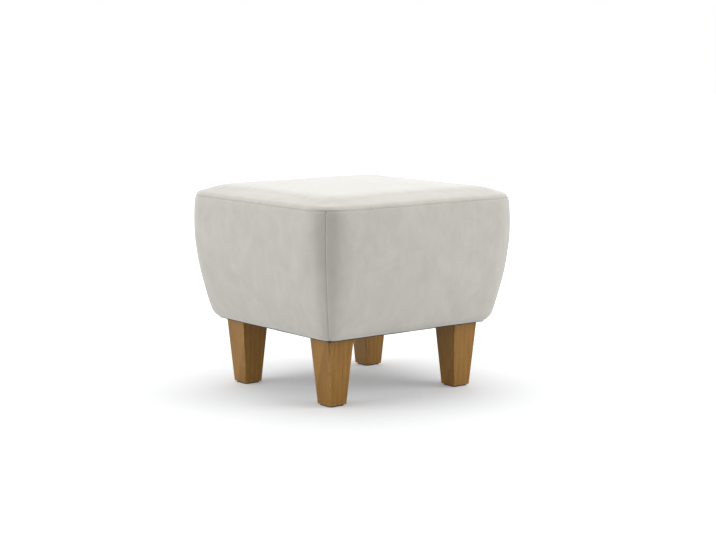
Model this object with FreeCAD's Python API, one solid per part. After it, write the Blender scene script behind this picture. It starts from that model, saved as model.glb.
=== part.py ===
import FreeCAD, Part
import math
import os

# Upholstered footstool. Millimetres, +Z up, origin on the floor under the middle of the stool.
# The front is the -Y side and the left is the -X side.

Vec = FreeCAD.Vector
UP = Vec(0, 0, 1)
MIDDLE = Vec(0, 0, 0)

# Driving dimensions of the whole stool
WIDTH = 510.0
DEPTH = 490.0
HEIGHT = 410.0

# Upholstered body: one profile of arcs is carried round a rectangle with rounded corners
UNDERSIDE = 133.0
WIDEST_HEIGHT = 366.0
SIDE_DRAW_IN = 40.0
CORNER_RADIUS = 75.0
LOWER_EDGE_RADIUS = 22.0
SEAM_HEIGHT = 386.0
SEAM_LEAN = 22.0
ROLL_RADIUS = 17.0
ROLL_LEAN = 70.0
CROWN_LEAN = 88.0
CAP_SHARES = (0.66, 0.3)
SEAM_GROOVE = 1.0

# Upholstery layers
FABRIC = 1.6
WADDING = 8.0
SIDE_FOAM = 22.0
HEM_WIDTH = 17.0
DUST_COVER = 0.6
DUST_COVER_LAP = 14.0

# Legs and glides
LEG_SPACING_X = 314.0
LEG_SPACING_Y = 284.0
LEG_FOOT = 40.0
LEG_HEAD = 60.5
LEG_EASE = 1.5
LEG_CHAMFER = 1.0
GLIDE_SIZE = 36.0
GLIDE_EASE = 4.0
GLIDE_BEVEL = 0.5
GLIDE_THICKNESS = 2.5
NAIL_RADIUS = 1.5
NAIL_LENGTH = 12.0

# Leg fixings
BOLT_RADIUS = 4.0
BOLT_NECK_RADIUS = 3.3
BOLT_NECK = 4.0
BOLT_TIP = 5.0
BOLT_IN_LEG = 40.0
BOLT_ABOVE_NUT = 3.0
BOLT_CLEARANCE = 0.5
NUT_BARREL_RADIUS = 5.0
NUT_BARREL = 11.0
NUT_FLANGE_RADIUS = 9.5
NUT_FLANGE = 1.5

# Timber frame
BASE_RAIL_WIDTH = 60.0
BASE_RAIL_THICKNESS = 22.0
BLOCK_THICKNESS = 15.0
BLOCK_REACH = 95.0
BLOCK_CUT = 38.0
FRAME_TOP = 326.0
POST_INNER_X = 165.0
POST_INNER_Y = 155.0
TOP_RAIL_THICKNESS = 20.0
TOP_RAIL_HEIGHT = 55.0
TENON_THICKNESS = 10.0
TENON_HEIGHT = 35.0
TENON_LENGTH = 20.0
TENON_SET_BACK = 2.0
PANEL_THICKNESS = 4.0
RIB_THICKNESS = 18.0
RIB_INNER = 36.0

# Webbing woven over the top rails
WEB_WIDTH = 50.0
WEB_THICKNESS = 1.5
WEB_SPACING = 110.0
WEB_COUNT = 3
WEB_REACH_INSIDE = 8.0
WEB_CLEARANCE = 0.1

# Staples
STAPLE_WIRE = 1.0
STAPLE_WIDTH = 12.0
STAPLE_LEG = 6.0
STAPLES_PER_SIDE = 5

# Flat faces that stand for each curve, an even number round a corner
CORNER_STEPS = 8
LOWER_EDGE_STEPS = 5
BELLY_STEPS = 8
SHOULDER_STEPS = 3
ROLL_STEPS = 5
CROWN_ARC_STEPS = 5
ROUND_SIDES = 16

SIDE_TURNS = {"front": 0, "right": 90, "back": 180, "left": 270}
CORNERS = {
    "front_left": (-1, -1),
    "front_right": (1, -1),
    "back_left": (-1, 1),
    "back_right": (1, 1),
}

# The corner axes, about which the profile turns, and the heights of the layers
AXIS_X = WIDTH / 2 - CORNER_RADIUS
AXIS_Y = DEPTH / 2 - CORNER_RADIUS
LINING = FABRIC + SIDE_FOAM
FRAME_BOTTOM = UNDERSIDE + FABRIC
BLOCK_BOTTOM = FRAME_BOTTOM + BASE_RAIL_THICKNESS
BLOCK_TOP = BLOCK_BOTTOM + BLOCK_THICKNESS
WEB_TOP = FRAME_TOP + 2 * WEB_THICKNESS + 2 * WEB_CLEARANCE
LEG_TOP = UNDERSIDE - DUST_COVER


# Profile of the body


class Bend:
    """One arc of the profile. A lean of 0 faces outwards, 90 faces up and -90 faces down."""

    def __init__(self, centre_reach, centre_z, radius):
        self.centre_reach = centre_reach
        self.centre_z = centre_z
        self.radius = radius

    def inside(self, depth):
        """The same arc on a layer that lies depth inside the cover's face."""
        return Bend(self.centre_reach, self.centre_z, self.radius - depth)

    def point(self, lean):
        """A point as its reach outwards from the corner axis and its height."""
        angle = math.radians(lean)
        reach = self.centre_reach + self.radius * math.cos(angle)
        return reach, self.centre_z + self.radius * math.sin(angle)

    def points(self, lean_from, lean_to, steps):
        """Evenly turned points along the arc, both ends included."""
        turn = (lean_to - lean_from) / steps
        return [self.point(lean_from + turn * step) for step in range(steps + 1)]


def belly_bend():
    """The long arc of the side, vertical at the widest height."""
    drop = WIDEST_HEIGHT - UNDERSIDE
    radius = (drop ** 2 + SIDE_DRAW_IN ** 2) / (2 * SIDE_DRAW_IN)
    return Bend(CORNER_RADIUS - radius, WIDEST_HEIGHT, radius)


def lower_edge_lean():
    """The lean at which the lower edge's arc meets the belly without a corner."""
    drop = WIDEST_HEIGHT - UNDERSIDE - LOWER_EDGE_RADIUS
    return -math.degrees(math.asin(drop / (belly_bend().radius - LOWER_EDGE_RADIUS)))


def lower_edge_bend():
    """The arc that takes the cover under the frame."""
    reach, z = belly_bend().inside(LOWER_EDGE_RADIUS).point(lower_edge_lean())
    return Bend(reach, z, LOWER_EDGE_RADIUS)


def shoulder_bend():
    """The arc that turns the side in towards the seam."""
    radius = (SEAM_HEIGHT - WIDEST_HEIGHT) / math.sin(math.radians(SEAM_LEAN))
    return Bend(CORNER_RADIUS - radius, WIDEST_HEIGHT, radius)


def roll_bend():
    """The padded roll of the top edge, just above the seam."""
    reach, z = shoulder_bend().inside(ROLL_RADIUS).point(SEAM_LEAN)
    return Bend(reach, z, ROLL_RADIUS)


def crown_bend():
    """The arc over which the top flattens out, as far as the corner axis."""
    reach, z = roll_bend().point(ROLL_LEAN)
    turn = math.cos(math.radians(ROLL_LEAN)) - math.cos(math.radians(CROWN_LEAN))
    radius = reach / turn
    angle = math.radians(ROLL_LEAN)
    return Bend(reach - radius * math.cos(angle), z - radius * math.sin(angle), radius)


def clipped(points, axis, low, high):
    """The stretch of a line of points whose reach (axis 0) or height (axis 1) is within bounds."""
    kept = []
    for start, end in zip(points, points[1:]):
        span = end[axis] - start[axis]
        first = (min(max(start[axis], low), high) - start[axis]) / span
        last = (min(max(end[axis], low), high) - start[axis]) / span
        if abs(last - first) < 1e-9:
            continue
        for share in (first, last):
            point = tuple(start[i] + (end[i] - start[i]) * share for i in (0, 1))
            if not kept or math.dist(kept[-1], point) > 1e-6:
                kept.append(point)
    return kept


def side_points(depth, z_low, z_high):
    """The side at a depth, upwards between two heights."""
    start = lower_edge_lean()
    step = -start / BELLY_STEPS
    belly = belly_bend().inside(depth).points(start - step, 0, BELLY_STEPS + 1)
    shoulder = shoulder_bend().inside(depth).points(0, SEAM_LEAN, SHOULDER_STEPS)
    return clipped(belly + shoulder[1:], 1, z_low, z_high)


def hemmed_points(depth, z_high):
    """The cover's line at a depth: rounded lower edge and side."""
    lower = lower_edge_bend().inside(depth)
    points = lower.points(-90, lower_edge_lean(), LOWER_EDGE_STEPS)
    side = side_points(depth, points[-1][1], z_high)
    return points + side[1:]


def top_points(depth):
    """The top at a depth, from the seam's height inwards to the corner axis."""
    roll = roll_bend().inside(depth).points(SEAM_LEAN, ROLL_LEAN, ROLL_STEPS)
    crown = crown_bend().inside(depth).points(ROLL_LEAN, CROWN_LEAN, CROWN_ARC_STEPS)
    raised = clipped(roll + crown[1:], 1, SEAM_HEIGHT, HEIGHT)
    return clipped(raised, 0, 0, CORNER_RADIUS)


def seam_point():
    """The bottom of the groove that the stitched seam pulls into the cover."""
    reach, z = shoulder_bend().point(SEAM_LEAN)
    return reach - SEAM_GROOVE, z


# Solids with flat faces


def flat_face(points):
    """A flat face through points, or None where they leave no area."""
    corners = []
    for point in points:
        if not any(point.isEqual(corner, 1e-6) for corner in corners):
            corners.append(point)
    if len(corners) < 3:
        return None
    return Part.Face(Part.makePolygon(corners + corners[:1]))


def faceted(outlines):
    """A solid through closed outlines with equal numbers of points."""
    faces = [flat_face(outlines[0]), flat_face(outlines[-1])]
    for near, far in zip(outlines, outlines[1:]):
        for index in range(len(near)):
            faces.append(flat_face([near[index - 1], near[index], far[index], far[index - 1]]))
    shell = Part.makeShell([face for face in faces if face])
    shell.sewShape()
    solid = Part.makeSolid(shell)
    if solid.Volume < 0:
        solid.reverse()
    return solid


def single(shape):
    """The one solid of a finished shape."""
    tidy = shape.removeSplitter()
    if len(tidy.Solids) != 1:
        raise ValueError("expected one solid, got %d" % len(tidy.Solids))
    return tidy.Solids[0]


def on_side(shape, side):
    """Turns a shape that was made on the front to another side."""
    shape.rotate(MIDDLE, UP, SIDE_TURNS[side])
    return shape


def side_sizes(side):
    """Half of a side's length and its distance from the middle, both to the corner axes."""
    return (AXIS_X, AXIS_Y) if side in ("front", "back") else (AXIS_Y, AXIS_X)


def sweep_side(points, side):
    """Carries a closed profile along a side, with half of the corner's turn at each end."""
    half_run, distance = side_sizes(side)
    half_steps = CORNER_STEPS // 2
    stations = [(-half_run, step) for step in range(-half_steps, 1)]
    stations += [(half_run, step) for step in range(half_steps + 1)]
    outlines = []
    for along, step in stations:
        turn = math.radians(90 / CORNER_STEPS * step)
        outlines.append([
            Vec(along + reach * math.sin(turn), -distance - reach * math.cos(turn), z)
            for reach, z in points
        ])
    return on_side(faceted(outlines), side)


def plan_outline(reach, z, share=1.0):
    """The body's outline at a height, as a rectangle with rounded corners."""
    points = []
    for quarter, (sign_x, sign_y) in enumerate(((1, 1), (-1, 1), (-1, -1), (1, -1))):
        for step in range(CORNER_STEPS + 1):
            angle = math.radians(90 * quarter + 90 / CORNER_STEPS * step)
            x = sign_x * AXIS_X * share + reach * math.cos(angle)
            y = sign_y * AXIS_Y * share + reach * math.sin(angle)
            points.append(Vec(x, y, z))
    return points


def body_between(depth, z_low, z_high):
    """The whole body at a depth, between two heights under the seam."""
    return faceted([plan_outline(reach, z) for reach, z in side_points(depth, z_low, z_high)])


def crowned_outlines(points, depth):
    """Outlines up a profile that ends at the corner axis, then over the crowned top."""
    edge_z = points[-1][1]
    rise = (HEIGHT - depth - edge_z) / (1 - CAP_SHARES[-1] ** 2)
    outlines = [plan_outline(reach, z) for reach, z in points]
    for share in CAP_SHARES:
        outlines.append(plan_outline(0, edge_z + rise * (1 - share ** 2), share))
    return outlines


def crowned_top(depth):
    """The crowned top at a depth, from the seam's height up."""
    return faceted(crowned_outlines(top_points(depth), depth))


# Cover and padding


def cover_top():
    """The top panel of the cover, drawn in at the seam."""
    above_seam = clipped(top_points(0), 1, SEAM_HEIGHT + SEAM_GROOVE, HEIGHT)
    outer = faceted(crowned_outlines([seam_point()] + above_seam, 0))
    return single(outer.cut(crowned_top(FABRIC)))


def cover_side(side):
    """One side panel of the cover, drawn in at the seam, with its hem turned under the frame."""
    outer = hemmed_points(0, SEAM_HEIGHT - SEAM_GROOVE) + [seam_point()]
    inner = hemmed_points(FABRIC, SEAM_HEIGHT)
    hem = [(inner[0][0] - HEM_WIDTH, inner[0][1]), (outer[0][0] - HEM_WIDTH, outer[0][1])]
    return single(sweep_side(outer + inner[::-1] + hem, side))


def side_foam(side):
    """One side's foam, mitred at the corners and trimmed level with the webbing."""
    outer = hemmed_points(FABRIC, WEB_TOP)
    lining = side_points(LINING, FRAME_BOTTOM, WEB_TOP)
    return single(sweep_side(outer + lining[::-1], side))


def seat_foam():
    """The block of seat foam: full size up to the seam, then crowned under the wadding."""
    points = side_points(FABRIC, WEB_TOP, SEAM_HEIGHT) + top_points(FABRIC + WADDING)
    return single(faceted(crowned_outlines(points, FABRIC + WADDING)))


def wadding():
    """The layer of wadding between the seat foam and the top panel."""
    return single(crowned_top(FABRIC).cut(crowned_top(FABRIC + WADDING)))


def dust_cover():
    """The sheet under the frame, lapped over the hem and pierced for the leg bolts."""
    lap = lower_edge_bend().centre_reach - HEM_WIDTH + DUST_COVER_LAP
    sheet = Part.makeBox(2 * (AXIS_X + lap), 2 * (AXIS_Y + lap), DUST_COVER,
                         Vec(-AXIS_X - lap, -AXIS_Y - lap, LEG_TOP))
    for corner in CORNERS.values():
        sheet = sheet.cut(leg_hole(corner, BOLT_RADIUS, LEG_TOP, UNDERSIDE))
    return single(sheet)


# Legs


def at_leg(shape, corner, z=0.0):
    """Moves a shape that was made on the origin to a leg's axis."""
    shape.translate(Vec(corner[0] * LEG_SPACING_X / 2, corner[1] * LEG_SPACING_Y / 2, z))
    return shape


def eased_square(size, ease, z):
    """A square outline whose corners are planed off."""
    half = size / 2
    points = []
    for sign_x, sign_y in ((1, 1), (-1, 1), (-1, -1), (1, -1)):
        on_x = Vec(sign_x * half, sign_y * (half - ease), z)
        on_y = Vec(sign_x * (half - ease), sign_y * half, z)
        points += [on_x, on_y] if sign_x == sign_y else [on_y, on_x]
    return points


def round_outline(radius, z):
    points = []
    for index in range(ROUND_SIDES):
        angle = 2 * math.pi * index / ROUND_SIDES
        points.append(Vec(radius * math.cos(angle), radius * math.sin(angle), z))
    return points


def turned(stations):
    """A small round piece on the Z axis, through stations of radius and height."""
    return faceted([round_outline(radius, z) for radius, z in stations])


def bolt_shape():
    """A hanger bolt standing on the origin: tapered tip, wood shank, neck and machine shank."""
    top = BOLT_IN_LEG + BLOCK_TOP + NUT_FLANGE + BOLT_ABOVE_NUT - LEG_TOP
    stations = [
        (BOLT_RADIUS / 3, 0),
        (BOLT_RADIUS, BOLT_TIP),
        (BOLT_RADIUS, BOLT_IN_LEG - BOLT_NECK),
        (BOLT_NECK_RADIUS, BOLT_IN_LEG - BOLT_NECK / 2),
        (BOLT_RADIUS, BOLT_IN_LEG),
        (BOLT_RADIUS, top - 1),
        (BOLT_RADIUS - 1, top),
    ]
    return turned(stations)


def hanger_bolt(corner):
    return at_leg(bolt_shape(), corner, LEG_TOP - BOLT_IN_LEG)


def tee_nut(corner):
    """A tee nut: a flange on the corner block and a barrel let into it."""
    stations = [
        (NUT_BARREL_RADIUS, -NUT_BARREL),
        (NUT_BARREL_RADIUS, 0),
        (NUT_FLANGE_RADIUS, 0),
        (NUT_FLANGE_RADIUS, NUT_FLANGE),
    ]
    bore = turned([(BOLT_RADIUS, -NUT_BARREL), (BOLT_RADIUS, NUT_FLANGE)])
    return at_leg(single(turned(stations).cut(bore)), corner, BLOCK_TOP)


def nail_shape():
    """The glide's nail, pointed at the top."""
    tip = GLIDE_THICKNESS + NAIL_LENGTH
    return turned([(NAIL_RADIUS, GLIDE_THICKNESS), (NAIL_RADIUS, tip - 2), (NAIL_RADIUS / 4, tip)])


def glide(corner):
    """A foot pad, bevelled where it meets the floor, with its nail."""
    outlines = [
        eased_square(GLIDE_SIZE - 2 * GLIDE_BEVEL, GLIDE_EASE, 0),
        eased_square(GLIDE_SIZE, GLIDE_EASE, GLIDE_BEVEL),
        eased_square(GLIDE_SIZE, GLIDE_EASE, GLIDE_THICKNESS),
    ]
    return single(at_leg(faceted(outlines).fuse(nail_shape()), corner))


def leg(corner):
    """A tapered square leg, drilled for its bolt at the head and for the glide's nail at the foot."""
    slope = (LEG_HEAD - LEG_FOOT) / (LEG_TOP - GLIDE_THICKNESS)
    outlines = [
        eased_square(LEG_FOOT - 2 * LEG_CHAMFER, LEG_EASE, GLIDE_THICKNESS),
        eased_square(LEG_FOOT + slope * LEG_CHAMFER, LEG_EASE, GLIDE_THICKNESS + LEG_CHAMFER),
        eased_square(LEG_HEAD, LEG_EASE, LEG_TOP),
    ]
    body = at_leg(faceted(outlines), corner).cut(hanger_bolt(corner))
    return single(body.cut(at_leg(nail_shape(), corner)))


# Timber frame


def leg_hole(corner, radius, z_low, z_high):
    return at_leg(turned([(radius, z_low), (radius, z_high)]), corner)


def drilled(shape, radius, z_low, z_high):
    """Cuts the leg bolts' holes through a piece between two heights."""
    for corner in CORNERS.values():
        shape = shape.cut(leg_hole(corner, radius, z_low, z_high))
    return shape


def base_rail(side, envelope):
    """A rail of the base frame, halved at both ends over its neighbours."""
    half_run, distance = side_sizes(side)
    edge = reach_of_lining(FRAME_BOTTOM)
    inner = distance + edge - BASE_RAIL_WIDTH
    cross = half_run + edge - BASE_RAIL_WIDTH
    half_length = half_run + CORNER_RADIUS
    rail = Part.makeBox(2 * half_length, distance + CORNER_RADIUS - inner, BASE_RAIL_THICKNESS,
                        Vec(-half_length, -distance - CORNER_RADIUS, FRAME_BOTTOM))
    under = side in ("left", "right")
    lap_z = FRAME_BOTTOM + (BASE_RAIL_THICKNESS / 2 if under else 0)
    for start in (-half_length, cross):
        lap = Part.makeBox(half_length - cross, WIDTH, BASE_RAIL_THICKNESS / 2,
                           Vec(start, -WIDTH, lap_z))
        rail = rail.cut(lap)
    rail = on_side(rail, side).common(envelope)
    return single(drilled(rail, BOLT_RADIUS + BOLT_CLEARANCE, UNDERSIDE, BLOCK_TOP))


def reach_of_lining(z):
    """How far the frame reaches out from the corner axis at a height."""
    return side_points(LINING, z, SEAM_HEIGHT)[0][0]


def corner_block(corner, envelope):
    """A plywood block over a lap joint, its inner corner cut off, with the tee nut's hole."""
    sign_x, sign_y = corner
    near_x = reach_of_lining(BLOCK_BOTTOM) + AXIS_X - BLOCK_REACH
    near_y = reach_of_lining(BLOCK_BOTTOM) + AXIS_Y - BLOCK_REACH
    points = [
        Vec(sign_x * WIDTH / 2, sign_y * DEPTH / 2, BLOCK_BOTTOM),
        Vec(sign_x * near_x, sign_y * DEPTH / 2, BLOCK_BOTTOM),
        Vec(sign_x * near_x, sign_y * (near_y + BLOCK_CUT), BLOCK_BOTTOM),
        Vec(sign_x * (near_x + BLOCK_CUT), sign_y * near_y, BLOCK_BOTTOM),
        Vec(sign_x * WIDTH / 2, sign_y * near_y, BLOCK_BOTTOM),
    ]
    block = Part.Face(Part.makePolygon(points + points[:1])).extrude(UP * BLOCK_THICKNESS)
    block = block.common(envelope)
    block = block.cut(leg_hole(corner, NUT_BARREL_RADIUS, BLOCK_TOP - NUT_BARREL, BLOCK_TOP))
    return single(block.cut(leg_hole(corner, BOLT_RADIUS + BOLT_CLEARANCE, BLOCK_BOTTOM, BLOCK_TOP)))


def top_rail(side):
    """A top rail on edge behind the side panel, with a tenon on each end."""
    distance = side_sizes(side)[1]
    half_length = post_inner(side)
    outer = distance + CORNER_RADIUS
    inner = distance + reach_of_lining(FRAME_TOP) - PANEL_THICKNESS - TOP_RAIL_THICKNESS
    bottom = FRAME_TOP - TOP_RAIL_HEIGHT
    rail = Part.makeBox(2 * half_length, outer - inner, TOP_RAIL_HEIGHT,
                        Vec(-half_length, -outer, bottom))
    rail = rail.cut(outside_of_panel(side, bottom, FRAME_TOP))
    tenon_half = half_length + TENON_LENGTH
    tenon = Part.makeBox(2 * tenon_half, TENON_THICKNESS, TENON_HEIGHT,
                         Vec(-tenon_half, -inner - TENON_THICKNESS - TENON_SET_BACK,
                             FRAME_TOP - (TOP_RAIL_HEIGHT + TENON_HEIGHT) / 2))
    return on_side(single(rail.fuse(tenon)), side)


def post_inner(side):
    """Half the clear run between the posts along a side."""
    return POST_INNER_X if side in ("front", "back") else POST_INNER_Y


def lining_strip(side, depth_out, depth_in, half_length, z_low, z_high):
    """A curved strip of the body's side between two depths, straight along the side."""
    distance = side_sizes(side)[1]
    points = side_points(depth_out, z_low, z_high) + side_points(depth_in, z_low, z_high)[::-1]
    near = [Vec(-half_length, -distance - reach, z) for reach, z in points]
    far = [Vec(half_length, -distance - reach, z) for reach, z in points]
    return faceted([near, far])


def outside_of_panel(side, z_low, z_high):
    """All that lies outside the side panel's inner face, to shape what stands behind it."""
    return lining_strip(side, -2 * SIDE_DRAW_IN, LINING + PANEL_THICKNESS, WIDTH, z_low, z_high)


def side_panel(side):
    """A thin panel bent over the rib between two posts."""
    panel = lining_strip(side, LINING, LINING + PANEL_THICKNESS, post_inner(side), BLOCK_BOTTOM, FRAME_TOP)
    return on_side(single(panel), side)


def rib(side):
    """The plywood rib in the middle of a side, notched behind the top rail."""
    distance = side_sizes(side)[1]
    outer = distance + CORNER_RADIUS
    inner = distance + reach_of_lining(BLOCK_BOTTOM) - RIB_INNER
    board = Part.makeBox(RIB_THICKNESS, outer - inner, FRAME_TOP - BLOCK_BOTTOM,
                         Vec(-RIB_THICKNESS / 2, -outer, BLOCK_BOTTOM))
    board = board.cut(outside_of_panel(side, BLOCK_BOTTOM, FRAME_TOP))
    rail_back = distance + reach_of_lining(FRAME_TOP) - PANEL_THICKNESS - TOP_RAIL_THICKNESS
    notch = Part.makeBox(RIB_THICKNESS, outer, TOP_RAIL_HEIGHT,
                         Vec(-RIB_THICKNESS / 2, -rail_back - outer, FRAME_TOP - TOP_RAIL_HEIGHT))
    return on_side(single(board.cut(notch)), side)


def post(corner, envelope, rails):
    """A corner post shaped to the body, with the mortises for two top rails."""
    sign_x, sign_y = corner
    low_x = POST_INNER_X if sign_x > 0 else -WIDTH / 2
    low_y = POST_INNER_Y if sign_y > 0 else -DEPTH / 2
    box = Part.makeBox(WIDTH / 2 - POST_INNER_X, DEPTH / 2 - POST_INNER_Y, FRAME_TOP - BLOCK_TOP,
                       Vec(low_x, low_y, BLOCK_TOP))
    shaped = box.common(envelope)
    return single(shaped.cut(rails))


# Webbing


def web_profile(half_length, crossings):
    """The side view of a strap, flat on the rails and over or under each strap that it crosses."""
    step = WEB_THICKNESS + WEB_CLEARANCE
    flat = WEB_WIDTH / 2 + 1
    bottoms = [(-half_length, FRAME_TOP)]
    ramp_start = half_length - TOP_RAIL_THICKNESS
    bottoms.append((-ramp_start, FRAME_TOP))
    for place, over in crossings:
        level = FRAME_TOP + WEB_CLEARANCE / 2 + (step if over else 0)
        bottoms.append((place - flat, level))
        bottoms.append((place + flat, level))
    bottoms.append((ramp_start, FRAME_TOP))
    bottoms.append((half_length, FRAME_TOP))
    tops = [(along, z + WEB_THICKNESS) for along, z in reversed(bottoms)]
    points = [Vec(along, 0, z) for along, z in bottoms + tops]
    return Part.Face(Part.makePolygon(points + points[:1]))


def web_places():
    return [WEB_SPACING * (index - (WEB_COUNT - 1) / 2) for index in range(WEB_COUNT)]


def web_strap(index, across):
    """One strap. The straps across and those lengthwise pass over each other in turn."""
    axis_distance = AXIS_X if across else AXIS_Y
    half_length = axis_distance + reach_of_lining(FRAME_TOP) - WEB_REACH_INSIDE
    crossings = []
    for order, place in enumerate(web_places()):
        over = (index + order) % 2 == (0 if across else 1)
        crossings.append((place, over))
    strap = web_profile(half_length, crossings).extrude(Vec(0, WEB_WIDTH, 0))
    strap.translate(Vec(0, -WEB_WIDTH / 2, 0))
    if not across:
        strap.rotate(MIDDLE, UP, 90)
    offset = web_places()[index]
    strap.translate(Vec(0, offset, 0) if across else Vec(offset, 0, 0))
    return single(strap)


# Staples


def staple(leg_length):
    """A staple with its crown level at the top and its legs down, over the origin."""
    half_wire = STAPLE_WIRE / 2
    half_width = STAPLE_WIDTH / 2
    crown = Part.makeBox(STAPLE_WIDTH, STAPLE_WIRE, STAPLE_WIRE, Vec(-half_width, -half_wire, 0))
    legs = []
    for end in (-half_width, half_width - STAPLE_WIRE):
        corner = Vec(end, -half_wire, -leg_length)
        legs.append(Part.makeBox(STAPLE_WIRE, STAPLE_WIRE, leg_length, corner))
    return single(crown.fuse(legs))


def dust_cover_staples():
    """The staples round the edge of the dust cover, driven up into the base rails."""
    edge = lower_edge_bend().centre_reach - HEM_WIDTH + DUST_COVER_LAP - STAPLE_LEG
    staples = []
    for side in SIDE_TURNS:
        distance = side_sizes(side)[1]
        spacing = LEG_SPACING_X if side in ("front", "back") else LEG_SPACING_Y
        step = (spacing - LEG_HEAD - STAPLE_WIDTH) / STAPLES_PER_SIDE
        for index in range(STAPLES_PER_SIDE):
            one = staple(STAPLE_LEG)
            one.rotate(MIDDLE, Vec(1, 0, 0), 180)
            along = step * (index - (STAPLES_PER_SIDE - 1) / 2)
            one.translate(Vec(along, -distance - edge, LEG_TOP))
            staples.append(on_side(one, side))
    return staples


def webbing_staples():
    """Two staples through each end of every strap into its top rail."""
    staples = []
    for index in range(WEB_COUNT):
        for side in SIDE_TURNS:
            rail = side_sizes(side)[1] + reach_of_lining(FRAME_TOP)
            reach = rail - WEB_REACH_INSIDE - STAPLE_LEG
            for shift in (-WEB_WIDTH / 4, WEB_WIDTH / 4):
                one = staple(STAPLE_LEG + WEB_THICKNESS)
                along = web_places()[index] + shift
                one.translate(Vec(along, -reach, FRAME_TOP + WEB_THICKNESS))
                staples.append(on_side(one, side))
    return staples


# The whole stool


def padding_parts():
    parts = {"cover_top": cover_top(), "wadding": wadding(), "seat_foam": seat_foam()}
    for side in SIDE_TURNS:
        parts["cover_" + side] = cover_side(side)
        parts["side_foam_" + side] = side_foam(side)
    parts["dust_cover"] = dust_cover()
    return parts


def frame_parts():
    envelope = body_between(LINING, FRAME_BOTTOM, FRAME_TOP)
    parts = {}
    for side in SIDE_TURNS:
        parts["base_rail_" + side] = base_rail(side, envelope)
        parts["top_rail_" + side] = top_rail(side)
        parts["side_panel_" + side] = side_panel(side)
        parts["rib_" + side] = rib(side)
    rails = [parts["top_rail_" + side] for side in SIDE_TURNS]
    for name, corner in CORNERS.items():
        parts["corner_block_" + name] = corner_block(corner, envelope)
        parts["post_" + name] = post(corner, envelope, rails)
    for index in range(WEB_COUNT):
        parts["strap_across_%d" % (index + 1)] = web_strap(index, True)
        parts["strap_lengthwise_%d" % (index + 1)] = web_strap(index, False)
    return parts


def leg_parts():
    parts = {}
    for name, corner in CORNERS.items():
        parts["leg_" + name] = leg(corner)
        parts["glide_" + name] = glide(corner)
    return parts


def fastener_parts():
    return {
        "hanger_bolts": [hanger_bolt(corner) for corner in CORNERS.values()],
        "tee_nuts": [tee_nut(corner) for corner in CORNERS.values()],
        "webbing_staples": webbing_staples(),
        "dust_cover_staples": dust_cover_staples(),
    }


def main():
    os.makedirs("parts", exist_ok=True)
    parts = {}
    parts.update(leg_parts())
    parts.update(frame_parts())
    parts.update(padding_parts())
    for name, solids in fastener_parts().items():
        parts[name] = Part.makeCompound(solids)
    for name, shape in parts.items():
        shape.exportStep("parts/%s.step" % name)


if __name__ == "__main__":
    main()
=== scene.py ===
import math

import bmesh
import bpy
from bpy.props import FloatProperty, FloatVectorProperty, PointerProperty
from bpy.types import Operator, Panel, PropertyGroup
from mathutils import Matrix, Vector, noise


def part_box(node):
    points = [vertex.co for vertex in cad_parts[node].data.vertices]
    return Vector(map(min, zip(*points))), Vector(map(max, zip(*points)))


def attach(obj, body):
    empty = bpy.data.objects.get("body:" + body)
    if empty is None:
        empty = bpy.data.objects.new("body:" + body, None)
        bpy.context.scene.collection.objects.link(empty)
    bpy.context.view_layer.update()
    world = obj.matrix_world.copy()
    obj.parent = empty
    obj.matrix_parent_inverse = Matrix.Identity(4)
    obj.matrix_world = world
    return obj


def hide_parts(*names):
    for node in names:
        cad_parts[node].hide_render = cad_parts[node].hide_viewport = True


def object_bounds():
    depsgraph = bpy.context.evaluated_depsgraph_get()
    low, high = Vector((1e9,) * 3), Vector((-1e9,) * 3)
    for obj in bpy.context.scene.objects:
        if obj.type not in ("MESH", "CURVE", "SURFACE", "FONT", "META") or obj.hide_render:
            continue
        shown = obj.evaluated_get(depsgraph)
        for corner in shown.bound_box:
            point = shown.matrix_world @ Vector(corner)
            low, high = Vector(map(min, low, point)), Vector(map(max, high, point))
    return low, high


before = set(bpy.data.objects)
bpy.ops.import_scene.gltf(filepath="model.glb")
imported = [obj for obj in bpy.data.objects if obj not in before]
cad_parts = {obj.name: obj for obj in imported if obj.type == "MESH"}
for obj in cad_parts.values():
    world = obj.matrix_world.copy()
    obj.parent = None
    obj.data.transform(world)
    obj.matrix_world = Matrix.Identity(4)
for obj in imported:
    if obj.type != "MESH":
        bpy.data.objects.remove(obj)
CAD_LOW, CAD_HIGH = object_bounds()
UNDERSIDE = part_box("cover_front")[0].z
SEAM_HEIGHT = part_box("cover_front")[1].z

bl_info = {
    "name": "Upholstered Footstool",
    "version": (1, 0, 0),
    "blender": (4, 5, 0),
    "location": "3D View > Sidebar > Footstool",
    "description": "Covers, pads and finishes a footstool round its packed parts",
    "category": "Object",
}

SIDES = ("front", "right", "back", "left")
SIDES_ALONG_X = ("front", "back")
PANELS = ("top",) + SIDES
CORNERS = ("front_left", "front_right", "back_left", "back_right")
STRAP_WAYS = ("across", "lengthwise")
STRAPS_EACH_WAY = 3


# Sizes and colours that a user may change


def length(name, description, default):
    """A size in metres."""
    return FloatProperty(name=name, description=description, default=default, unit="LENGTH", precision=4)


def degrees(name, description, default):
    """An angle, its default given in degrees."""
    return FloatProperty(name=name, description=description, default=math.radians(default), subtype="ANGLE")


def watts(name, description, default):
    """The power of a lamp."""
    return FloatProperty(name=name, description=description, default=default, unit="POWER")


def colour(name, description, default):
    """A colour as its linear red, green and blue."""
    return FloatVectorProperty(
        name=name, description=description, default=default, subtype="COLOR", size=3, min=0.0, max=1.0
    )


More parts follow.
